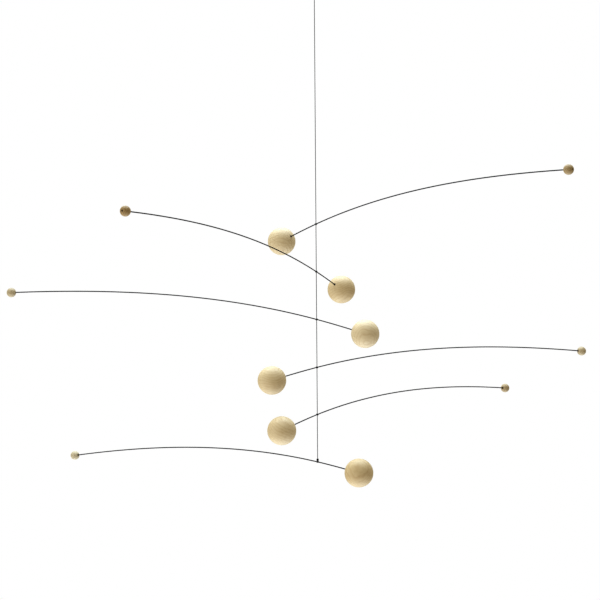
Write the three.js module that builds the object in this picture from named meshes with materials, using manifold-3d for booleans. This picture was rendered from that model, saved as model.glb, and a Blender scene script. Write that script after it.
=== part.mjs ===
// A hanging mobile. One thread carries six steel wire arms, one above the other. Each arm is a shallow
// arc with a large wooden ball on its short side and a small wooden ball at the end of its long side.
// Millimetres and degrees, +Z up. The origin is inside the top of the thread's loop, where a hook
// carries the mobile.

import * as THREE from 'three';
import { mergeVertices } from 'three/addons/utils/BufferGeometryUtils.js';
import Module from 'manifold-3d';

const wasm = await Module();
wasm.setup();

// Clearance between pieces that touch
const gap = 0.3;

// Wooden balls. The large ones are drilled part way for the wire, the small ones right through.
const largeBallDiameter = 30;
const largeBallHoleDepth = 14;
const smallBallDiameter = 10;
const smallBallWireRecess = 0.4;

// Heights: from the hook down to the first eye, and from each eye down to the next
const hookToFirstEye = 265;
const eyeSpacing = 51;
const lastEyesSpacing = 50;

// Wire of an arm. Its bend is tightest at the thread and eases evenly towards both balls. The long and
// short sides run along the wire from the thread to the middles of the balls.
const wireDiameter = 1.1;
const wireLongSide = 333;
const wireShortSide = 54;
const fifthShortSide = 57;
const sixthShortSide = 52;
const wireSlopeAtThread = 14.4;
const wireBendRadiusAtThread = 750;
const wireBendRadiusAtBalls = 2200;

// Eye in the wire, an upright ring that sits on the thread
const eyeWall = 0.55;
const eyeHeight = 1.7;

// Thread, the loop at its upper end, the knot that closes the loop, and the sleeve above the last arm
const threadDiameter = 0.7;
const loopHeight = 15.7;
const loopWidth = 6.4;
const loopKnotDiameter = 2.6;
const loopKnotHeight = 2.8;
const sleeveWall = 0.55;
const sleeveHeight = 2.2;

// The arms from the top down. drop is from the hook, or from the arm above, down to the arm's eye.
// bearing is the way the long side points, from +X towards +Y. tilt is how much steeper the arm hangs
// than the wire's own slope.
const arms = [
  { name: 'arm_1', drop: hookToFirstEye, bearing: 316, tilt: -0.4, shortSide: wireShortSide },
  { name: 'arm_2', drop: eyeSpacing, bearing: 238.2, tilt: 1.1, shortSide: wireShortSide },
  { name: 'arm_3', drop: eyeSpacing, bearing: 176, tilt: 1.2, shortSide: wireShortSide },
  { name: 'arm_4', drop: eyeSpacing, bearing: 24.6, tilt: -0.8, shortSide: wireShortSide },
  { name: 'arm_5', drop: lastEyesSpacing, bearing: 47.2, tilt: 1.1, shortSide: fifthShortSide },
  { name: 'arm_6', drop: lastEyesSpacing, bearing: 147.8, tilt: -3.4, shortSide: sixthShortSide },
];

// Route of the loop's thread, left to right over the hook: across as a share of half the loop's width,
// and down as a share of its height, from the top of the thread at the hook
const loopRoute = [
  [-0.16, 1],
  [-0.34, 0.83],
  [-0.78, 0.55],
  [-1, 0.3],
  [-0.72, 0.08],
  [0, 0],
  [0.72, 0.08],
  [1, 0.3],
  [0.78, 0.55],
  [0.34, 0.83],
  [0.16, 1],
];

// Fineness of the faceted shapes, and of the steps that work out the wire's arc
const wireSides = 8;
const wireSteps = 24;
const arcSteps = 60;
const eyeSides = 16;
const largeBallSides = 24;
const largeBallRings = 11;
const smallBallSides = 16;
const smallBallRings = 8;
const threadSides = 8;
const threadSteps = 32;
const loopSteps = 22;
const knotSides = 12;
const knotRings = 8;
const mergeDistance = 1e-5;

const wood = { color: 0xd8bf94, roughness: 0.6, metalness: 0 };
const blackWire = { color: 0x26282a, roughness: 0.4, metalness: 0.6 };
const blackThread = { color: 0x2c2c2e, roughness: 0.7, metalness: 0 };
const blackSleeve = { color: 0x1d1d1f, roughness: 0.5, metalness: 0.3 };

function meshOf(name, geometry, look) {
  const mesh = new THREE.Mesh(geometry, new THREE.MeshStandardMaterial(look));
  mesh.name = name;
  return mesh;
}

// Closed solid for cutting and joining, from any closed geometry
function toSolid(geometry) {
  const bare = geometry.clone();
  bare.deleteAttribute('normal');
  bare.deleteAttribute('uv');
  const merged = mergeVertices(bare, mergeDistance);
  const vertProperties = Float32Array.from(merged.attributes.position.array);
  const triVerts = Uint32Array.from(merged.index.array);
  return new wasm.Manifold(new wasm.Mesh({ numProp: 3, vertProperties, triVerts }));
}

function toGeometry(solid) {
  const { vertProperties, triVerts } = solid.getMesh();
  const geometry = new THREE.BufferGeometry();
  geometry.setAttribute('position', new THREE.BufferAttribute(vertProperties, 3));
  geometry.setIndex(new THREE.BufferAttribute(triVerts, 1));
  geometry.computeVertexNormals();
  return geometry;
}

// Round bar of the given number of sides that follows a line
function roundBar(path, diameter, sides, steps) {
  const corners = [];
  for (let i = 0; i < sides; i++) {
    const angle = (2 * Math.PI * i) / sides;
    corners.push(new THREE.Vector2(Math.cos(angle), Math.sin(angle)).multiplyScalar(diameter / 2));
  }
  return new THREE.ExtrudeGeometry(new THREE.Shape(corners), { steps, extrudePath: path });
}

// Upright cylinder about the Z axis, centred on the origin
function uprightCylinder(diameter, height) {
  const cylinder = new THREE.CylinderGeometry(diameter / 2, diameter / 2, height, eyeSides);
  return cylinder.rotateX(Math.PI / 2);
}

// Slope of the wire, in radians, at the distance s along it from the thread. s is positive on the long
// side and negative on the short side.
function wireSlope(arm, s) {
  const side = s < 0 ? arm.shortSide : wireLongSide;
  const tight = 1 / wireBendRadiusAtThread;
  const easing = (tight - 1 / wireBendRadiusAtBalls) / (2 * side);
  const turn = tight * Math.abs(s) - easing * s * s;
  return THREE.MathUtils.degToRad(wireSlopeAtThread + arm.tilt) - Math.sign(s) * turn;
}

// Place of the wire's middle at the distance s from the thread, in the arm's own frame: X along the
// arm towards the small ball, Z up, the eye at the origin
function wirePlace(arm, s, place = new THREE.Vector3()) {
  const step = s / arcSteps;
  place.set(0, 0, 0);
  for (let i = 0; i < arcSteps; i++) {
    const slope = wireSlope(arm, (i + 0.5) * step);
    place.x += step * Math.cos(slope);
    place.z += step * Math.sin(slope);
  }
  return place;
}

// The line down the middle of an arm's wire, from its end in the large ball to its end in the small one
class WireLine extends THREE.Curve {
  constructor(arm) {
    super();
    const holeBottom = largeBallDiameter / 2 - largeBallHoleDepth;
    this.arm = arm;
    this.start = -(arm.shortSide - holeBottom - gap);
    this.end = wireLongSide + smallBallDiameter / 2 - smallBallWireRecess;
  }

  getPoint(t, target) {
    return wirePlace(this.arm, this.start + t * (this.end - this.start), target);
  }
}

// The wire of an arm with its eye: an upright ring fused into the wire, with a bore for the thread
function armWire(arm) {
  const eyeBore = threadDiameter + 2 * gap;
  const wire = toSolid(roundBar(new WireLine(arm), wireDiameter, wireSides, wireSteps));
  const ring = toSolid(uprightCylinder(eyeBore + 2 * eyeWall, eyeHeight));
  const bore = toSolid(uprightCylinder(eyeBore, eyeHeight + wireDiameter));
  return meshOf(`${arm.name}_wire`, toGeometry(wire.add(ring).subtract(bore)), blackWire);
}

// Radius of the hole in a ball
const holeRadius = wireDiameter / 2 + gap;

// Half outline of a ball about the Y axis, between two angles counted up from its lower pole
function ballOutline(radius, fromAngle, toAngle, rings) {
  const outline = [];
  for (let i = 0; i <= rings; i++) {
    const angle = THREE.MathUtils.lerp(fromAngle, toAngle, i / rings);
    outline.push(new THREE.Vector2(radius * Math.sin(angle), -radius * Math.cos(angle)));
  }
  return outline;
}

// Large ball with a blind hole that opens at its upper pole
function largeBallGeometry() {
  const radius = largeBallDiameter / 2;
  const mouth = Math.asin(holeRadius / radius);
  const outline = ballOutline(radius, 0, Math.PI - mouth, largeBallRings);
  const holeBottom = radius - largeBallHoleDepth;
  outline.push(new THREE.Vector2(holeRadius, holeBottom), new THREE.Vector2(0, holeBottom));
  return new THREE.LatheGeometry(outline, largeBallSides);
}

// Small ball with a hole right through it, from pole to pole
function smallBallGeometry() {
  const radius = smallBallDiameter / 2;
  const mouth = Math.asin(holeRadius / radius);
  const outline = ballOutline(radius, mouth, Math.PI - mouth, smallBallRings);
  outline.push(outline[0].clone());
  return new THREE.LatheGeometry(outline, smallBallSides);
}

// Puts a ball on the wire with its middle at the distance s from the thread and its hole along the
// wire, the upper pole towards the thread
function threadBall(ball, arm, s) {
  const slope = wireSlope(arm, s);
  const outwards = new THREE.Vector3(Math.cos(slope), 0, Math.sin(slope)).multiplyScalar(Math.sign(s));
  wirePlace(arm, s, ball.position);
  ball.quaternion.setFromUnitVectors(new THREE.Vector3(0, 1, 0), outwards.negate());
  return ball;
}

function armGroup(arm, height) {
  const group = new THREE.Group();
  const largeBall = meshOf(`${arm.name}_large_ball`, largeBallGeometry(), wood);
  const smallBall = meshOf(`${arm.name}_small_ball`, smallBallGeometry(), wood);
  group.add(armWire(arm));
  group.add(threadBall(largeBall, arm, -arm.shortSide));
  group.add(threadBall(smallBall, arm, wireLongSide));
  group.position.z = height;
  group.rotation.z = THREE.MathUtils.degToRad(arm.bearing);
  return group;
}

const threadTop = threadDiameter / 2;
const loopBottom = threadTop - loopHeight;
const knotTop = loopBottom - gap;
const knotBottom = knotTop - loopKnotHeight;

// Thread from under the loop's knot down to the underside of the last eye
function threadMesh(lastEyeHeight) {
  const top = new THREE.Vector3(0, 0, knotBottom - gap);
  const bottom = new THREE.Vector3(0, 0, lastEyeHeight - eyeHeight / 2);
  const line = new THREE.LineCurve3(top, bottom);
  return meshOf('thread', roundBar(line, threadDiameter, threadSides, threadSteps), blackThread);
}

function hangingLoop() {
  const points = loopRoute.map(([across, down]) => {
    return new THREE.Vector3((across * loopWidth) / 2, 0, threadTop - down * loopHeight);
  });
  const line = new THREE.CatmullRomCurve3(points);
  return meshOf('hanging_loop', roundBar(line, threadDiameter, threadSides, loopSteps), blackThread);
}

function loopKnot() {
  const knot = new THREE.SphereGeometry(loopKnotDiameter / 2, knotSides, knotRings);
  knot.rotateX(Math.PI / 2);
  knot.scale(1, 1, loopKnotHeight / loopKnotDiameter);
  knot.translate(0, 0, (knotTop + knotBottom) / 2);
  return meshOf('loop_knot', knot, blackThread);
}

// Sleeve round the thread, just above the last arm's eye
function endSleeve(lastEyeHeight) {
  const inner = threadDiameter / 2 + gap;
  const outer = inner + sleeveWall;
  const outline = [
    new THREE.Vector2(inner, 0),
    new THREE.Vector2(outer, 0),
    new THREE.Vector2(outer, sleeveHeight),
    new THREE.Vector2(inner, sleeveHeight),
    new THREE.Vector2(inner, 0),
  ];
  const sleeve = new THREE.LatheGeometry(outline, eyeSides).rotateX(Math.PI / 2);
  sleeve.translate(0, 0, lastEyeHeight + eyeHeight / 2 + gap);
  return meshOf('end_sleeve', sleeve, blackSleeve);
}

const mobile = new THREE.Group();
let eyeLevel = 0;
for (const arm of arms) {
  eyeLevel -= arm.drop;
  mobile.add(armGroup(arm, eyeLevel));
}
mobile.add(hangingLoop());
mobile.add(loopKnot());
mobile.add(threadMesh(eyeLevel));
mobile.add(endSleeve(eyeLevel));

export default mobile;
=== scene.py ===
"""A hanging mobile: one thread carries six wire arms, each with a large and a small wooden ball.

Metres, +Z up, the hook at the origin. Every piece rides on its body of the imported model.
"""

import math
import random

import bmesh
import bpy
from mathutils import Matrix, Quaternion, Vector


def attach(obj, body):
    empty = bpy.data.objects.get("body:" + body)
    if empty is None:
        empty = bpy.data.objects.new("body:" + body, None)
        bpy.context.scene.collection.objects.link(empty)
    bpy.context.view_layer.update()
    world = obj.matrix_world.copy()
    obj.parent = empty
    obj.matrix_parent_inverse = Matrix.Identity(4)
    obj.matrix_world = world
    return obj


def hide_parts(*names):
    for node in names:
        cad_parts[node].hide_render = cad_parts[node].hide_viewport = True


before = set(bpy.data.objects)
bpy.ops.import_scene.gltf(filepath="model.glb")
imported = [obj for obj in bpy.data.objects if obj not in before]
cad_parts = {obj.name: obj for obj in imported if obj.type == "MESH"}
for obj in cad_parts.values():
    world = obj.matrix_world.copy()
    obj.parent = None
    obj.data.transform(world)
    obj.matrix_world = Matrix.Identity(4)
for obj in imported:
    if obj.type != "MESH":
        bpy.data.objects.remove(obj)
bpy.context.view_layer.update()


# Camera, at the photograph's own viewing angle. It stands 1.92 m in front of the thread, level with
# the lowest arms, and looks slightly up and to the left. The hook and the loop are above its view.
CAMERA_PLACE = Vector((0, -1.9196, -0.4844))
CAMERA_TURN = math.radians(0.524)
CAMERA_RISE = math.radians(4.119)
CAMERA_ROLL = math.radians(-0.374)
FOCAL_LENGTH_MM = 108.45
SENSOR_WIDTH_MM = 36

camera_data = bpy.data.cameras.new("photo_camera")
camera_data.sensor_width = SENSOR_WIDTH_MM
camera_data.lens = FOCAL_LENGTH_MM
camera = bpy.data.objects.new("photo_camera", camera_data)
level_look = Matrix.Rotation(math.radians(90), 4, "X")
camera.matrix_world = (
    Matrix.Translation(CAMERA_PLACE)
    @ Matrix.Rotation(CAMERA_TURN, 4, "Z")
    @ Matrix.Rotation(CAMERA_RISE, 4, "X")
    @ level_look
    @ Matrix.Rotation(CAMERA_ROLL, 4, "Z")
)
bpy.context.scene.collection.objects.link(camera)
bpy.context.scene.camera = camera


# Thread: one length of thin dark nylon, three strands laid round each other. It runs from the last
# eye straight up to the knot, over the hook as a loop, and back into the knot.
THREAD_DIAMETER = 0.0007
THREAD_BOTTOM = Vector((0, 0, -0.51885))
KNOT_MIDDLE = Vector((0, 0, -0.01705))
LOOP_TOP = 0.00035
LOOP_HEIGHT = 0.0157
LOOP_WIDTH = 0.0064
# Left to right over the hook: share of half the loop's width, share of its height down from the top
LOOP_ROUTE = [
    (-0.16, 1),
    (-0.34, 0.83),
    (-0.78, 0.55),
    (-1, 0.3),
    (-0.72, 0.08),
    (0, 0),
    (0.72, 0.08),
    (1, 0.3),
    (0.78, 0.55),
    (0.34, 0.83),
    (0.16, 1),
]
STRAND_COUNT = 3
STRAND_LAY = 0.0033
STRAND_GROOVE = 0.22
THREAD_SIDES = 15
THREAD_STEP = 0.0004
# Steeper than the grooves between the strands, so that only the thread's cut ends are crisp
THREAD_CREASE_DEGREES = 80
# Where the loop's second part enters the knot, beside the first
LOOP_RETURN = Vector((0.0002, 0, 0))
FIBRE_SCALE = 5200
NYLON_DARK = (0.0015, 0.0015, 0.0016, 1)
NYLON_PALE = (0.009, 0.009, 0.01, 1)
NYLON_SPECULAR = 0.15


def add_step(tree, kind, inputs, **settings):
    """A node with its settings. Each of its inputs is a plain value or another node's output."""
    node = tree.nodes.new(kind)
    for setting, value in settings.items():
        setattr(node, setting, value)
    for socket, value in inputs.items():
        if isinstance(value, bpy.types.NodeSocket):
            tree.links.new(value, node.inputs[socket])
        else:
            node.inputs[socket].default_value = value
    return node


def new_finish(name):
    """An empty material, its nodes, and its surface shader joined to the output."""
    finish = bpy.data.materials.new(name)
    finish.use_nodes = True
    tree = finish.node_tree
    tree.nodes.clear()
    shader = tree.nodes.new("ShaderNodeBsdfPrincipled")
    add_step(tree, "ShaderNodeOutputMaterial", {"Surface": shader.outputs["BSDF"]})
    return finish, tree, shader


def smooth_route(corners, step):
    """Points about a step apart on the smooth line through the corners."""
    ends = [2 * corners[0] - corners[1], *corners, 2 * corners[-1] - corners[-2]]
    points = [corners[0].copy()]
    for before, here, there, after in zip(ends, ends[1:], ends[2:], ends[3:]):
        parts = max(1, round((there - here).length / step))
        for i in range(1, parts + 1):
            t = i / parts
            points.append(
                0.5
                * (
                    2 * here
                    + (there - before) * t
                    + (2 * before - 5 * here + 4 * there - after) * t**2
                    + (3 * here - before - 3 * there + after) * t**3
                )
            )
    return points


def laid_along(bm, route, section, closed=False):
    """Faces of a bar round a route. section(distance) gives the bar's outline there, as pairs."""
    last = len(route) - 1
    ahead = (route[1] - route[0]).normalized()
    side = ahead.orthogonal().normalized()
    distance = 0
    rings = []
    for i, point in enumerate(route):
        if closed:
            new_ahead = route[(i + 1) % len(route)] - route[i - 1]
        else:
            new_ahead = route[min(i + 1, last)] - route[max(i - 1, 0)]
        new_ahead.normalize()
        side = (ahead.rotation_difference(new_ahead) @ side).normalized()
        ahead = new_ahead
        up = ahead.cross(side)
        distance += (point - route[i - 1]).length if i else 0
        rings.append([bm.verts.new(point + side * a + up * b) for a, b in section(distance)])
    for ring, following in zip(rings, rings[1:] + rings[:1] if closed else rings[1:]):
        for j in range(len(ring)):
            k = (j + 1) % len(ring)
            bm.faces.new((ring[j], ring[k], following[k], following[j]))
    if not closed:
        bm.faces.new(rings[0][::-1])
        bm.faces.new(rings[-1])


def piece_of(name, bm, finish, crease_degrees=40):
    """A piece from its faces: smooth, with its corners sharper than the crease angle kept crisp."""
    bmesh.ops.recalc_face_normals(bm, faces=bm.faces)
    for face in bm.faces:
        face.smooth = True
    for edge in bm.edges:
        if edge.is_manifold and edge.calc_face_angle() > math.radians(crease_degrees):
            edge.smooth = False
    mesh = bpy.data.meshes.new(name)
    bm.to_mesh(mesh)
    bm.free()
    mesh.materials.append(finish)
    piece = bpy.data.objects.new(name, mesh)
    bpy.context.scene.collection.objects.link(piece)
    return piece


def strands_outline(distance):
    """Outline of the thread: three round strands, turned by how far along the thread it is."""
    outline = []
    turned = 2 * math.pi * distance / STRAND_LAY
    for i in range(THREAD_SIDES):
        angle = 2 * math.pi * i / THREAD_SIDES
        groove = abs(math.sin((angle - turned) * STRAND_COUNT / 2))
        radius = THREAD_DIAMETER / 2 * (1 - STRAND_GROOVE * (1 - groove) ** 2)
        outline.append((radius * math.cos(angle), radius * math.sin(angle)))
    return outline


nylon, tree, shader = new_finish("dark_nylon_thread")
place = add_step(tree, "ShaderNodeTexCoord", {}).outputs["Object"]
fibres = add_step(
    tree,
    "ShaderNodeTexNoise",
    {"Vector": place, "Scale": FIBRE_SCALE, "Detail": 3, "Roughness": 0.6},
)
nylon_tones = add_step(tree, "ShaderNodeValToRGB", {"Fac": fibres.outputs["Fac"]})
nylon_tones.color_ramp.elements[0].position = 0.3
nylon_tones.color_ramp.elements[0].color = NYLON_DARK
nylon_tones.color_ramp.elements[1].position = 0.75
nylon_tones.color_ramp.elements[1].color = NYLON_PALE
nylon_gloss = add_step(
    tree,
    "ShaderNodeMapRange",
    {"Value": fibres.outputs["Fac"], "To Min": 0.5, "To Max": 0.75},
)
nylon_bump = add_step(
    tree,
    "ShaderNodeBump",
    {"Height": fibres.outputs["Fac"], "Strength": 0.3, "Distance": 0.00004},
)
tree.links.new(nylon_tones.outputs["Color"], shader.inputs["Base Color"])
tree.links.new(nylon_gloss.outputs["Result"], shader.inputs["Roughness"])
tree.links.new(nylon_bump.outputs["Normal"], shader.inputs["Normal"])
shader.inputs["Specular IOR Level"].default_value = NYLON_SPECULAR

loop_corners = [
    Vector((across * LOOP_WIDTH / 2, 0, LOOP_TOP - down * LOOP_HEIGHT))
    for across, down in LOOP_ROUTE
]
straight_steps = round((KNOT_MIDDLE.z - THREAD_BOTTOM.z) / THREAD_STEP)
thread_route = [
    THREAD_BOTTOM.lerp(KNOT_MIDDLE, i / straight_steps)
    for i in range(straight_steps)
]
thread_route += smooth_route(
    [KNOT_MIDDLE, *loop_corners, KNOT_MIDDLE + LOOP_RETURN], THREAD_STEP
)
bm = bmesh.new()
laid_along(bm, thread_route, strands_outline)
thread = piece_of("hanging_thread", bm, nylon, THREAD_CREASE_DEGREES)
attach(thread, "root")
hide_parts("thread", "hanging_loop")


# Loop knot: the overhand knot that closes the loop, tied with both parts of the thread side by side
# and pulled tight, with the thread's short cut end left standing out of it.
KNOT_RADIUS = 0.0007
KNOT_HALF_HEIGHT = 0.0008
KNOT_STEPS = 96
# How far each part of the thread lies from the knot's line, outwards and up, or inwards and down
KNOT_PAIR_OFFSET = 0.000224
CUT_END = [
    Vector((0.0003, 0, -0.0173)),
    Vector((0.0011, -0.0004, -0.0184)),
    Vector((0.0016, -0.0008, -0.0201)),
    Vector((0.0017, -0.0009, -0.0221)),
]


def knot_point(turn):
    """Point of the knot's line, which crosses itself three times, as an overhand knot's does."""
    return KNOT_MIDDLE + Vector(
        (
            KNOT_RADIUS * (math.sin(turn) + 2 * math.sin(2 * turn)) / 3,
            KNOT_RADIUS * (math.cos(turn) - 2 * math.cos(2 * turn)) / 3,
            -KNOT_HALF_HEIGHT * math.sin(3 * turn),
        )
    )


bm = bmesh.new()
for offset in (-KNOT_PAIR_OFFSET, KNOT_PAIR_OFFSET):
    knot_route = []
    for i in range(KNOT_STEPS):
        turn = 2 * math.pi * i / KNOT_STEPS
        middle = knot_point(turn)
        outwards = Vector((middle.x, middle.y, 0)).normalized()
        knot_route.append(middle + outwards * offset + Vector((0, 0, offset)))
    laid_along(bm, knot_route, strands_outline, closed=True)
laid_along(bm, smooth_route(CUT_END, THREAD_STEP), strands_outline)
knot = piece_of("tied_loop_knot", bm, nylon, THREAD_CREASE_DEGREES)
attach(knot, "root")
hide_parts("loop_knot")


# End sleeve: a short black metal tube pressed onto the thread just above the last arm, so that the
# eye below it can't ride up. Its ends are rolled, and the pressing left two shallow waists.
SLEEVE_BOTTOM = -0.51685
SLEEVE_HEIGHT = 0.0022
SLEEVE_RADIUS = 0.0012
SLEEVE_BORE_RADIUS = 0.00039
SLEEVE_ROLL = 0.00022
SLEEVE_WAIST_DEPTH = 0.00012
# Shares of the sleeve's height: the waists' middles, their half width, and the bore's two ends
SLEEVE_WAISTS = (0.34, 0.66)
SLEEVE_WAIST_WIDTH = 0.075
SLEEVE_BORE_ENDS = (0.92, 0.08)
SLEEVE_SIDES = 40
SLEEVE_RINGS = 36
SLEEVE_DARK = (0.001, 0.001, 0.001, 1)
SLEEVE_RUBBED = (0.005, 0.005, 0.0052, 1)
BLACK_METAL_ROUGHNESS = (0.5, 0.7)
BLACK_METAL_SPECULAR = 0.08
# Stretched along X, the way the metal was drawn
DRAWN_MARKS_SCALE = (60, 2600, 2600)
RUBBED_PATCHES_SCALE = 260


def worn_metal_group():
    """Uneven tone, gloss and fine pits of blackened metal, at any place on it."""
    group = bpy.data.node_groups.new("blackened_metal_wear", "ShaderNodeTree")
    face = group.interface
    face.new_socket("Place", in_out="INPUT", socket_type="NodeSocketVector")
    face.new_socket("Dark tone", in_out="INPUT", socket_type="NodeSocketColor")
    face.new_socket("Rubbed tone", in_out="INPUT", socket_type="NodeSocketColor")
    face.new_socket("Least roughness", in_out="INPUT", socket_type="NodeSocketFloat")
    face.new_socket("Most roughness", in_out="INPUT", socket_type="NodeSocketFloat")
    face.new_socket("Color", in_out="OUTPUT", socket_type="NodeSocketColor")
    face.new_socket("Roughness", in_out="OUTPUT", socket_type="NodeSocketFloat")
    face.new_socket("Height", in_out="OUTPUT", socket_type="NodeSocketFloat")
    given = group.nodes.new("NodeGroupInput").outputs
    drawn = add_step(
        group,
        "ShaderNodeVectorMath",
        {0: given["Place"], 1: DRAWN_MARKS_SCALE},
        operation="MULTIPLY",
    )
    marks = add_step(group, "ShaderNodeTexNoise", {"Vector": drawn.outputs["Vector"], "Detail": 3})
    patches = add_step(
        group,
        "ShaderNodeTexNoise",
        {
            "Vector": given["Place"],
            "Scale": RUBBED_PATCHES_SCALE,
            "Detail": 4,
            "Roughness": 0.65,
        },
    )
    both = add_step(
        group,
        "ShaderNodeMath",
        {0: marks.outputs["Fac"], 1: patches.outputs["Fac"]},
        operation="MULTIPLY",
    )
    rubbed = add_step(
        group,
        "ShaderNodeMapRange",
        {"Value": both.outputs["Value"], "From Min": 0.16, "From Max": 0.38},
    )
    tone = add_step(
        group,
        "ShaderNodeMix",
        {0: rubbed.outputs["Result"], 6: given["Dark tone"], 7: given["Rubbed tone"]},
        data_type="RGBA",
    )
    roughness = add_step(
        group,
        "ShaderNodeMapRange",
        {
            "Value": patches.outputs["Fac"],
            "From Min": 0.3,
            "From Max": 0.7,
            "To Min": given["Least roughness"],
            "To Max": given["Most roughness"],
        },
    )
    add_step(
        group,
        "NodeGroupOutput",
        {
            "Color": tone.outputs[2],
            "Roughness": roughness.outputs["Result"],
            "Height": marks.outputs["Fac"],
        },
    )
    return group


worn_metal = worn_metal_group()


def blackened_metal(name, dark, rubbed):
    """A satin black metal finish with its own two tones."""
    finish, tree, shader = new_finish(name)
    place = add_step(tree, "ShaderNodeTexCoord", {}).outputs["Object"]
    wear = add_step(
        tree,
        "ShaderNodeGroup",
        {
            "Place": place,
            "Dark tone": dark,
            "Rubbed tone": rubbed,
            "Least roughness": BLACK_METAL_ROUGHNESS[0],
            "Most roughness": BLACK_METAL_ROUGHNESS[1],
        },
        node_tree=worn_metal,
    )
    bump = add_step(
        tree,
        "ShaderNodeBump",
        {"Height": wear.outputs["Height"], "Strength": 0.2, "Distance": 0.00002},
    )
    tree.links.new(wear.outputs["Color"], shader.inputs["Base Color"])
    tree.links.new(wear.outputs["Roughness"], shader.inputs["Roughness"])
    tree.links.new(bump.outputs["Normal"], shader.inputs["Normal"])
    shader.inputs["Specular IOR Level"].default_value = BLACK_METAL_SPECULAR
    return finish


sleeve_black = blackened_metal("black_sleeve_metal", SLEEVE_DARK, SLEEVE_RUBBED)


def turned(bm, outline, sides):
    """Faces of a shape turned about Z. Its outline is a loop, or starts and ends on the axis."""
    rings = []
    for radius, height in outline:
        if radius == 0:
            rings.append([bm.verts.new((0, 0, height))])
            continue
        ring = []
        for i in range(sides):
            angle = 2 * math.pi * i / sides
            ring.append(bm.verts.new((radius * math.cos(angle), radius * math.sin(angle), height)))
        rings.append(ring)
    closed = outline[0][0] > 0
    for ring, following in zip(rings, rings[1:] + rings[:1] if closed else rings[1:]):
        for i in range(sides):
            k = (i + 1) % sides
            if len(ring) == 1:
                bm.faces.new((ring[0], following[k], following[i]))
            elif len(following) == 1:
                bm.faces.new((ring[i], ring[k], following[0]))
            else:
                bm.faces.new((ring[i], ring[k], following[k], following[i]))


sleeve_outline = [(SLEEVE_BORE_RADIUS, SLEEVE_HEIGHT * share) for share in SLEEVE_BORE_ENDS]
for i in range(SLEEVE_RINGS + 1):
    level = i / SLEEVE_RINGS
    to_end = SLEEVE_HEIGHT * min(level, 1 - level)
    rolled = max(0, 1 - to_end / SLEEVE_ROLL)
    drawn_in = SLEEVE_ROLL * (1 - math.sqrt(1 - rolled**2))
    for middle in SLEEVE_WAISTS:
        from_waist = (level - middle) / SLEEVE_WAIST_WIDTH
        drawn_in += SLEEVE_WAIST_DEPTH * math.exp(-(from_waist**2))
    sleeve_outline.append((SLEEVE_RADIUS - drawn_in, SLEEVE_HEIGHT * level))
bm = bmesh.new()
turned(bm, sleeve_outline, SLEEVE_SIDES)
sleeve = piece_of("pressed_end_sleeve", bm, sleeve_black)
sleeve.location.z = SLEEVE_BOTTOM
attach(sleeve, "root")
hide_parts("end_sleeve")


# Arm wires: six lengths of 1.1 mm blackened spring steel wire, each bent to a long shallow arc that
# is tightest at the thread. There it has an upright eye, and the thread passes through the eye.
WIRE_RADIUS = 0.00055
WIRE_LONG_SIDE = 0.333
WIRE_SLOPE_AT_THREAD = 14.4
BEND_RADIUS_AT_THREAD = 0.750
BEND_RADIUS_AT_BALLS = 2.200
# The arms from the top down: height of the eye, the way the long side points, how much steeper the
# arm hangs than its wire's own slope, and the wire's length from the thread to the large ball
ARMS = [
    {"body": "arm_1", "height": -0.265, "bearing": 316, "tilt": -0.4, "short_side": 0.054},
    {"body": "arm_2", "height": -0.316, "bearing": 238.2, "tilt": 1.1, "short_side": 0.054},
    {"body": "arm_3", "height": -0.367, "bearing": 176, "tilt": 1.2, "short_side": 0.054},
    {"body": "arm_4", "height": -0.418, "bearing": 24.6, "tilt": -0.8, "short_side": 0.054},
    {"body": "arm_5", "height": -0.468, "bearing": 47.2, "tilt": 1.1, "short_side": 0.057},
    {"body": "arm_6", "height": -0.518, "bearing": 147.8, "tilt": -3.4, "short_side": 0.052},
]
# How far the wire's ends lie from the balls' middles: short of the large one, past the small one
WIRE_SHORT_OF_LARGE_MIDDLE = 0.0013
WIRE_PAST_SMALL_MIDDLE = 0.0046
WIRE_SIDES = 20
WIRE_STEP = 0.0022
ARC_STEPS = 60
EYE_RADIUS = 0.0012
EYE_HEIGHT = 0.0017
EYE_BORE_RADIUS = 0.00042
EYE_ROUNDING = 0.0004
EYE_LIP_STEPS = 6
EYE_SIDES = 32
# The cutter for the bore, longer than the eye at both ends
EYE_BORE_OUTLINE = [
    (0, -EYE_HEIGHT),
    (EYE_BORE_RADIUS, -EYE_HEIGHT),
    (EYE_BORE_RADIUS, EYE_HEIGHT),
    (0, EYE_HEIGHT),
]
WIRE_DARK = (0.001, 0.001, 0.001, 1)
WIRE_RUBBED = (0.006, 0.0058, 0.0056, 1)


def wire_slope(arm, distance):
    """Slope of an arm's wire at a distance along it, from the thread towards the small ball."""
    side = arm["short_side"] if distance < 0 else WIRE_LONG_SIDE
    tight = 1 / BEND_RADIUS_AT_THREAD
    easing = (tight - 1 / BEND_RADIUS_AT_BALLS) / (2 * side)
    turn = tight * abs(distance) - easing * distance**2
    return math.radians(WIRE_SLOPE_AT_THREAD + arm["tilt"]) - math.copysign(turn, distance)


def wire_place(arm, distance):
    """Place of the wire's middle in the arm's own frame: the eye at 0, X to the small ball."""
    step = distance / ARC_STEPS
    place = Vector((0, 0, 0))
    for i in range(ARC_STEPS):
        slope = wire_slope(arm, (i + 0.5) * step)
        place += Vector((math.cos(slope), 0, math.sin(slope))) * step
    return place


def arm_frame(arm):
    """The arm's own frame on the thread, turned to its bearing."""
    bearing = math.radians(arm["bearing"])
    return Matrix.Translation((0, 0, arm["height"])) @ Matrix.Rotation(bearing, 4, "Z")


def round_section(_distance):
    """Outline of the round wire."""
    angles = [2 * math.pi * i / WIRE_SIDES for i in range(WIRE_SIDES)]
    return [(WIRE_RADIUS * math.cos(angle), WIRE_RADIUS * math.sin(angle)) for angle in angles]


def scratch_piece(bm):
    """A shape that is only cut from, or joined to, another."""
    return piece_of("scratch", bm, None)


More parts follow.
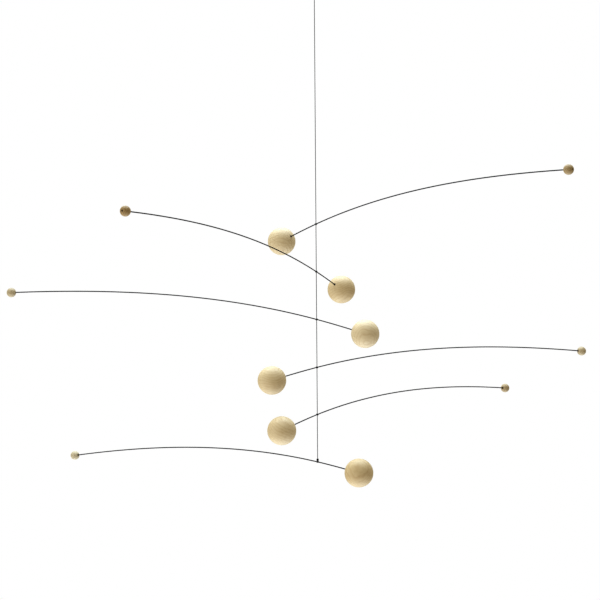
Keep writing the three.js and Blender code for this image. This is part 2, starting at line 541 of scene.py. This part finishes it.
def eye_outline():
    """Half outline of the eye: a short upright barrel with rounded lips, before it is bored."""
    outline = [(0, -EYE_HEIGHT / 2)]
    for end, first_angle in ((-1, -math.pi / 2), (1, 0)):
        for i in range(EYE_LIP_STEPS + 1):
            angle = first_angle + math.pi / 2 * i / EYE_LIP_STEPS
            out = EYE_RADIUS - EYE_ROUNDING + EYE_ROUNDING * math.cos(angle)
            up = end * (EYE_HEIGHT / 2 - EYE_ROUNDING) + EYE_ROUNDING * math.sin(angle)
            outline.append((out, up))
    outline.append((0, EYE_HEIGHT / 2))
    return outline


def join_or_cut(piece, other, operation):
    """Joins another shape to the piece, or cuts it from the piece, and removes the other shape."""
    modifier = piece.modifiers.new("join_or_cut", "BOOLEAN")
    modifier.operation = operation
    modifier.solver = "EXACT"
    modifier.object = other
    shown = piece.evaluated_get(bpy.context.evaluated_depsgraph_get())
    mesh = bpy.data.meshes.new_from_object(shown)
    piece.modifiers.clear()
    piece.data = mesh
    bpy.data.objects.remove(other)


wire_black = blackened_metal("blackened_steel_wire", WIRE_DARK, WIRE_RUBBED)

for arm in ARMS:
    start = -(arm["short_side"] - WIRE_SHORT_OF_LARGE_MIDDLE)
    end = WIRE_LONG_SIDE + WIRE_PAST_SMALL_MIDDLE
    steps = round((end - start) / WIRE_STEP)
    route = [wire_place(arm, start + (end - start) * i / steps) for i in range(steps + 1)]
    bm = bmesh.new()
    laid_along(bm, route, round_section)
    wire = piece_of(f"{arm['body']}_bent_wire", bm, wire_black)
    bm = bmesh.new()
    turned(bm, eye_outline(), EYE_SIDES)
    join_or_cut(wire, scratch_piece(bm), "UNION")
    bm = bmesh.new()
    turned(bm, EYE_BORE_OUTLINE, EYE_SIDES)
    # Half a side round, so that the bore's corners miss the edges on the eye's ends
    bmesh.ops.rotate(bm, verts=bm.verts, matrix=Matrix.Rotation(math.pi / EYE_SIDES, 3, "Z"))
    join_or_cut(wire, scratch_piece(bm), "DIFFERENCE")
    wire.matrix_world = arm_frame(arm)
    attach(wire, arm["body"])
    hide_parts(f"{arm['body']}_wire")


# Large balls: six 30 mm balls of pale hardwood, turned and sanded, one on the short end of each
# wire. Each is drilled part way, nearly along its grain, and the wire is pushed into the hole.
LARGE_BALL_RADIUS = 0.015
LARGE_HOLE_DEPTH = 0.014
HOLE_RADIUS = 0.00085
# The broken edge of the hole: its width, and its points as shares of that width, out and down
HOLE_LIP = 0.00022
HOLE_LIP_POINTS = [(0.35, 0.12), (0, 0.6)]
# The drill's point goes deeper than the hole's wall by this share of the hole's radius
DRILL_POINT = 0.6
# Painted shade round the mouth of the hole where the wire goes in, standing in for the shadow in
# the hole and at the wire's entry: how far it reaches, how dark it gets, and its colour
HOLE_SHADE_RADIUS = 0.0017
HOLE_SHADE_STRENGTH = 0.85
HOLE_SHADE_COLOUR = (0.03, 0.017, 0.008, 1)
# The painted shade lies only above this height over the ball's middle, where the wire goes in
HOLE_SHADE_HEIGHT = 0.001
LARGE_BALL_SIDES = 72
LARGE_BALL_RINGS = 48
# How pale each ball's board is, from the top arm down: 0 is the darkest board and 1 the palest
LARGE_BALL_TONES = [0.75, 0.2, 1, 0.6, 0.55, 0]
LARGE_BALL_BOARDS = [(0.565, 0.43, 0.25, 1), (0.635, 0.51, 0.333, 1)]
LARGE_BALL_STAINS = [(0.86, 0.81, 0.75, 1), (0.63, 0.56, 0.45, 1)]
LARGE_BALL_RING_SPACING_MM = 2.4
WOOD_SPECULAR = 0.4
BLOCK_LENGTH = 0.4
# How far the rings wander from true circles
RING_SWAY_MM = (9, 9, 9)
# Stretches of the rings, fibres and flecks: across the grain twice, then along it
RING_STRETCH = (1, 1, 0.02)
FIBRE_STRETCH = (2.3, 2.3, 0.11)
FLECK_STRETCH = (1.5, 1.5, 0.3)
# How much each adds to the depth of the wood's tone
RING_SHARE = 0.42
FIBRE_SHARE = 0.4
CLOUD_SHARE = 0.6


def wood_grain_group():
    """Growth rings, fibres and flecks of a pale hardwood, from a place in its block of wood.

    The tone is 0 for a ball from the darkest board and 1 for one from the palest.
    """
    group = bpy.data.node_groups.new("pale_hardwood_grain", "ShaderNodeTree")
    face = group.interface
    face.new_socket("Place", in_out="INPUT", socket_type="NodeSocketVector")
    face.new_socket("Tone", in_out="INPUT", socket_type="NodeSocketFloat")
    face.new_socket("Darkest board", in_out="INPUT", socket_type="NodeSocketColor")
    face.new_socket("Palest board", in_out="INPUT", socket_type="NodeSocketColor")
    face.new_socket("Ring stain", in_out="INPUT", socket_type="NodeSocketColor")
    face.new_socket("Fleck stain", in_out="INPUT", socket_type="NodeSocketColor")
    face.new_socket("Ring spacing mm", in_out="INPUT", socket_type="NodeSocketFloat")
    face.new_socket("Color", in_out="OUTPUT", socket_type="NodeSocketColor")
    face.new_socket("Roughness", in_out="OUTPUT", socket_type="NodeSocketFloat")
    face.new_socket("Height", in_out="OUTPUT", socket_type="NodeSocketFloat")
    given = group.nodes.new("NodeGroupInput").outputs
    in_mm = add_step(
        group, "ShaderNodeVectorMath", {0: given["Place"], "Scale": 1000}, operation="SCALE"
    )
    sway = add_step(
        group,
        "ShaderNodeTexNoise",
        {"Vector": in_mm.outputs["Vector"], "Scale": 0.055, "Detail": 1.5},
    )
    sway_middle = add_step(
        group,
        "ShaderNodeVectorMath",
        {0: sway.outputs["Color"], 1: (0.5, 0.5, 0.5)},
        operation="SUBTRACT",
    )
    swayed = add_step(
        group,
        "ShaderNodeVectorMath",
        {0: sway_middle.outputs["Vector"], 1: RING_SWAY_MM, 2: in_mm.outputs["Vector"]},
        operation="MULTIPLY_ADD",
    )
    across = add_step(
        group,
        "ShaderNodeVectorMath",
        {0: swayed.outputs["Vector"], 1: RING_STRETCH},
        operation="MULTIPLY",
    )
    from_pith = add_step(
        group, "ShaderNodeVectorMath", {0: across.outputs["Vector"]}, operation="LENGTH"
    )
    years = add_step(
        group,
        "ShaderNodeMath",
        {0: from_pith.outputs["Value"], 1: given["Ring spacing mm"]},
        operation="DIVIDE",
    )
    season = add_step(group, "ShaderNodeMath", {0: years.outputs["Value"]}, operation="FRACT")
    ring = add_step(group, "ShaderNodeValToRGB", {"Fac": season.outputs["Value"]})
    ring.color_ramp.interpolation = "EASE"
    ring.color_ramp.elements[0].color = (0, 0, 0, 1)
    ring.color_ramp.elements[1].color = (0, 0, 0, 1)
    late = ring.color_ramp.elements.new(0.86)
    late.color = (1, 1, 1, 1)
    early = ring.color_ramp.elements.new(0.45)
    early.color = (0.18, 0.18, 0.18, 1)
    fibre_place = add_step(
        group,
        "ShaderNodeVectorMath",
        {0: swayed.outputs["Vector"], 1: FIBRE_STRETCH},
        operation="MULTIPLY",
    )
    fibre = add_step(
        group,
        "ShaderNodeTexNoise",
        {"Vector": fibre_place.outputs["Vector"], "Scale": 1, "Detail": 4},
    )
    fleck_place = add_step(
        group,
        "ShaderNodeVectorMath",
        {0: swayed.outputs["Vector"], 1: FLECK_STRETCH},
        operation="MULTIPLY",
    )
    fleck_noise = add_step(
        group,
        "ShaderNodeTexNoise",
        {"Vector": fleck_place.outputs["Vector"], "Scale": 1, "Detail": 2},
    )
    fleck = add_step(
        group,
        "ShaderNodeMapRange",
        {"Value": fleck_noise.outputs["Fac"], "From Min": 0.6, "From Max": 0.72, "To Max": 0.4},
    )
    cloud = add_step(
        group,
        "ShaderNodeTexNoise",
        {"Vector": in_mm.outputs["Vector"], "Scale": 0.12, "Detail": 2},
    )
    ring_depth = add_step(
        group, "ShaderNodeMath", {0: ring.outputs["Color"], 1: RING_SHARE}, operation="MULTIPLY"
    )
    with_fibre = add_step(
        group,
        "ShaderNodeMath",
        {0: fibre.outputs["Fac"], 1: FIBRE_SHARE, 2: ring_depth.outputs["Value"]},
        operation="MULTIPLY_ADD",
    )
    with_cloud = add_step(
        group,
        "ShaderNodeMath",
        {0: cloud.outputs["Fac"], 1: CLOUD_SHARE, 2: with_fibre.outputs["Value"]},
        operation="MULTIPLY_ADD",
    )
    depth = add_step(
        group,
        "ShaderNodeMapRange",
        {"Value": with_cloud.outputs["Value"], "From Min": 0.4, "From Max": 1},
    )
    board = add_step(
        group,
        "ShaderNodeMix",
        {0: given["Tone"], 6: given["Darkest board"], 7: given["Palest board"]},
        data_type="RGBA",
    )
    ringed = add_step(
        group,
        "ShaderNodeMix",
        {0: depth.outputs["Result"], 6: board.outputs[2], 7: given["Ring stain"]},
        data_type="RGBA",
        blend_type="MULTIPLY",
    )
    flecked = add_step(
        group,
        "ShaderNodeMix",
        {0: fleck.outputs["Result"], 6: ringed.outputs[2], 7: given["Fleck stain"]},
        data_type="RGBA",
        blend_type="MULTIPLY",
    )
    roughness = add_step(
        group,
        "ShaderNodeMapRange",
        {
            "Value": fibre.outputs["Fac"],
            "From Min": 0.3,
            "From Max": 0.7,
            "To Min": 0.5,
            "To Max": 0.68,
        },
    )
    height = add_step(
        group,
        "ShaderNodeMath",
        {0: fleck.outputs["Result"], 1: -0.8, 2: fibre.outputs["Fac"]},
        operation="MULTIPLY_ADD",
    )
    add_step(
        group,
        "NodeGroupOutput",
        {
            "Color": flecked.outputs[2],
            "Roughness": roughness.outputs["Result"],
            "Height": height.outputs["Value"],
        },
    )
    return group


wood_grain = wood_grain_group()


def sanded_wood(name, boards, stains, ring_spacing_mm):
    """A bare sanded hardwood, with painted shade round the mouth of the hole where the wire goes
    in.

    It reads each ball's own tone, and its place in the block of wood that it was turned from.
    """
    finish, tree, shader = new_finish(name)
    place = add_step(tree, "ShaderNodeAttribute", {}, attribute_name="block_place")
    tone = add_step(tree, "ShaderNodeAttribute", {}, attribute_name="board_tone")
    grain = add_step(
        tree,
        "ShaderNodeGroup",
        {
            "Place": place.outputs["Vector"],
            "Tone": tone.outputs["Fac"],
            "Darkest board": boards[0],
            "Palest board": boards[1],
            "Ring stain": stains[0],
            "Fleck stain": stains[1],
            "Ring spacing mm": ring_spacing_mm,
        },
        node_tree=wood_grain,
    )
    bump = add_step(
        tree,
        "ShaderNodeBump",
        {"Height": grain.outputs["Height"], "Strength": 0.2, "Distance": 0.00006},
    )
    # Painted shade round the hole's mouth, found from the ball's own place: near the hole's axis,
    # and on the side where the wire goes in
    on_ball = add_step(tree, "ShaderNodeTexCoord", {}).outputs["Object"]
    across_hole = add_step(
        tree, "ShaderNodeVectorMath", {0: on_ball, 1: (1, 1, 0)}, operation="MULTIPLY"
    )
    from_hole = add_step(
        tree, "ShaderNodeVectorMath", {0: across_hole.outputs["Vector"]}, operation="LENGTH"
    )
    near_hole = add_step(
        tree,
        "ShaderNodeMapRange",
        {
            "Value": from_hole.outputs["Value"],
            "From Min": HOLE_RADIUS,
            "From Max": HOLE_SHADE_RADIUS,
            "To Min": HOLE_SHADE_STRENGTH,
            "To Max": 0,
        },
    )
    height = add_step(tree, "ShaderNodeSeparateXYZ", {0: on_ball})
    top_side = add_step(
        tree,
        "ShaderNodeMapRange",
        {"Value": height.outputs["Z"], "From Min": 0, "From Max": HOLE_SHADE_HEIGHT},
    )
    # The painted shade at the hole's mouth: darkest at the hole's edge, fading outwards, and only
    # on the wire's side
    stain = add_step(
        tree,
        "ShaderNodeMath",
        {0: near_hole.outputs["Result"], 1: top_side.outputs["Result"]},
        operation="MULTIPLY",
    )
    with_hole_shade = add_step(
        tree,
        "ShaderNodeMix",
        {0: stain.outputs["Value"], 6: grain.outputs["Color"], 7: HOLE_SHADE_COLOUR},
        data_type="RGBA",
    )
    tree.links.new(with_hole_shade.outputs[2], shader.inputs["Base Color"])
    tree.links.new(grain.outputs["Roughness"], shader.inputs["Roughness"])
    tree.links.new(bump.outputs["Normal"], shader.inputs["Normal"])
    shader.inputs["Specular IOR Level"].default_value = WOOD_SPECULAR
    return finish


def drilled_ball_outline(radius, rings, hole_depth):
    """Half outline of a ball drilled from its top. A hole deeper than the ball comes out below."""
    lip = math.asin((HOLE_RADIUS + HOLE_LIP) / radius)
    through = hole_depth >= 2 * radius
    first = lip if through else 0
    outline = []
    for i in range(rings + 1):
        angle = first + (math.pi - lip - first) * i / rings
        outline.append((radius * math.sin(angle) if angle else 0, -radius * math.cos(angle)))
    top = radius * math.cos(math.asin(HOLE_RADIUS / radius))
    lip_points = [
        (HOLE_RADIUS + HOLE_LIP * out, top - HOLE_LIP * down)
        for out, down in HOLE_LIP_POINTS
    ]
    outline += lip_points
    if through:
        outline += [(out, -height) for out, height in reversed(lip_points)]
    else:
        bottom = radius - hole_depth
        outline.append((HOLE_RADIUS, bottom))
        outline.append((0, bottom - HOLE_RADIUS * DRILL_POINT))
    return outline


def put_on_wire(ball, arm, distance):
    """Puts a ball on the wire, its drilled top towards the thread."""
    slope = wire_slope(arm, distance)
    to_thread = -math.copysign(1, distance) * Vector((math.cos(slope), 0, math.sin(slope)))
    turn = Vector((0, 0, 1)).rotation_difference(to_thread)
    place = Matrix.Translation(wire_place(arm, distance))
    ball.matrix_world = arm_frame(arm) @ place @ turn.to_matrix().to_4x4()


def cut_from_block(ball, tone, chance, lean_degrees, from_pith):
    """Gives the ball its tone, and its place and lean in the block of wood it was turned from."""
    lean = Quaternion((1, 0, 0), math.radians(chance.uniform(*lean_degrees)))
    spin = Quaternion((0, 0, 1), chance.uniform(0, 2 * math.pi))
    turned_in_block = spin @ lean
    place = Vector((chance.uniform(*from_pith), 0, chance.uniform(0, BLOCK_LENGTH)))
    place.rotate(Quaternion((0, 0, 1), chance.uniform(0, 2 * math.pi)))
    in_block = ball.data.attributes.new("block_place", "FLOAT_VECTOR", "POINT")
    for vertex, spot in zip(ball.data.vertices, in_block.data):
        spot.vector = turned_in_block @ vertex.co + place
    for spot in ball.data.attributes.new("board_tone", "FLOAT", "POINT").data:
        spot.value = tone


large_wood = sanded_wood(
    "large_ball_hardwood", LARGE_BALL_BOARDS, LARGE_BALL_STAINS, LARGE_BALL_RING_SPACING_MM
)
block_chance = random.Random(30)
for arm, tone in zip(ARMS, LARGE_BALL_TONES):
    bm = bmesh.new()
    turned(
        bm,
        drilled_ball_outline(LARGE_BALL_RADIUS, LARGE_BALL_RINGS, LARGE_HOLE_DEPTH),
        LARGE_BALL_SIDES,
    )
    ball = piece_of(f"{arm['body']}_large_wooden_ball", bm, large_wood)
    put_on_wire(ball, arm, -arm["short_side"])
    cut_from_block(ball, tone, block_chance, lean_degrees=(6, 24), from_pith=(0.03, 0.07))
    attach(ball, arm["body"])
    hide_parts(f"{arm['body']}_large_ball")


# Small balls: six 10 mm balls of the same hardwood, one at the end of each wire's long side. Each
# is drilled right through, and the wire's end is set just below the surface of its outer side.
SMALL_BALL_RADIUS = 0.005
SMALL_BALL_SIDES = 56
SMALL_BALL_RINGS = 36
# Each small ball's tone and the two boards below are partly the wood's own tone and partly painted
# shade. The small balls come out darker than the large balls of the same hardwood, and they vary
# more, standing in for the deeper shade in their middles
SMALL_BALL_TONES_AND_SHADE = [0.2, 0, 0.65, 0.6, 0.35, 1]
SMALL_BALL_BOARDS_AND_SHADE = [(0.335, 0.222, 0.096, 1), (0.51, 0.43, 0.3, 1)]
SMALL_BALL_STAINS = [(0.88, 0.84, 0.78, 1), (0.78, 0.72, 0.62, 1)]
SMALL_BALL_RING_SPACING_MM = 1.6

# Partly painted shade: this finish is darker than the large balls' wood
small_wood_and_shade = sanded_wood(
    "small_ball_hardwood_and_shade", SMALL_BALL_BOARDS_AND_SHADE, SMALL_BALL_STAINS, SMALL_BALL_RING_SPACING_MM
)
for arm, tone in zip(ARMS, SMALL_BALL_TONES_AND_SHADE):
    bm = bmesh.new()
    turned(
        bm,
        drilled_ball_outline(SMALL_BALL_RADIUS, SMALL_BALL_RINGS, 2 * SMALL_BALL_RADIUS),
        SMALL_BALL_SIDES,
    )
    ball = piece_of(f"{arm['body']}_small_wooden_ball", bm, small_wood_and_shade)
    put_on_wire(ball, arm, WIRE_LONG_SIDE)
    cut_from_block(ball, tone, block_chance, lean_degrees=(4, 20), from_pith=(0.02, 0.06))
    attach(ball, arm["body"])
    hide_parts(f"{arm['body']}_small_ball")


# Floor, surroundings and light, none of them part of the mobile. The floor is a plain pale disc a
# room's height below the hook, under the camera's view. Everything round it is seen as white, but
# lights the mobile less strongly and more warmly than white surroundings would.
FLOOR_HEIGHT = -2.4
FLOOR_RADIUS = 3.2
FLOOR_SIDES = 96
FLOOR_COLOUR = (0.92, 0.885, 0.95, 1)
SEEN_COLOUR = (1, 1, 1, 1)
WARM_WHITE = (1, 0.92, 0.65)
WARM_STRENGTH = 0.43
SOFT_LIGHT_SIZE = 2.4
# Name and place of each soft light, its power in watts and its colour
SOFT_LIGHTS = [
    ("top_light", (0, 0.35, 1.6), 141, (0.69, 0.84, 1)),
    ("under_light", (0, 0.3, -2.2), 54, (0.7, 0.85, 1)),
    ("left_light", (-2.0, -0.8, -0.6), 37, (0.86, 0.95, 1)),
    ("front_light", (0, -2.6, -0.4), 6, WARM_WHITE),
]
LIGHT_AIM = Vector((0, 0, -0.4))
# Below 1 the picture's darker tones come out deeper, as in the photograph
PICTURE_GAMMA = 0.8

pale_floor, _, shader = new_finish("plain_pale_floor")
shader.inputs["Base Color"].default_value = FLOOR_COLOUR
shader.inputs["Roughness"].default_value = 0.9
bm = bmesh.new()
bmesh.ops.create_circle(bm, cap_ends=True, segments=FLOOR_SIDES, radius=FLOOR_RADIUS)
floor = piece_of("floor", bm, pale_floor)
floor.location.z = FLOOR_HEIGHT

surroundings = bpy.data.worlds.new("white_surroundings")
bpy.context.scene.world = surroundings
surroundings.use_nodes = True
tree = surroundings.node_tree
tree.nodes.clear()
seen = add_step(tree, "ShaderNodeBackground", {"Color": SEEN_COLOUR, "Strength": 1})
lighting = add_step(
    tree, "ShaderNodeBackground", {"Color": (*WARM_WHITE, 1), "Strength": WARM_STRENGTH}
)
rays = add_step(tree, "ShaderNodeLightPath", {})
either = add_step(
    tree,
    "ShaderNodeMixShader",
    {0: rays.outputs["Is Camera Ray"], 1: lighting.outputs[0], 2: seen.outputs[0]},
)
add_step(tree, "ShaderNodeOutputWorld", {"Surface": either.outputs[0]})

for name, place, power, colour in SOFT_LIGHTS:
    light = bpy.data.lights.new(name, "AREA")
    light.shape = "SQUARE"
    light.size = SOFT_LIGHT_SIZE
    light.energy = power
    light.color = colour
    lamp = bpy.data.objects.new(name, light)
    lamp.location = place
    lamp.rotation_mode = "QUATERNION"
    lamp.rotation_quaternion = (LIGHT_AIM - Vector(place)).to_track_quat("-Z", "Y")
    lamp.visible_camera = False
    bpy.context.scene.collection.objects.link(lamp)

bpy.context.scene.view_settings.view_transform = "Standard"
bpy.context.scene.view_settings.gamma = PICTURE_GAMMA
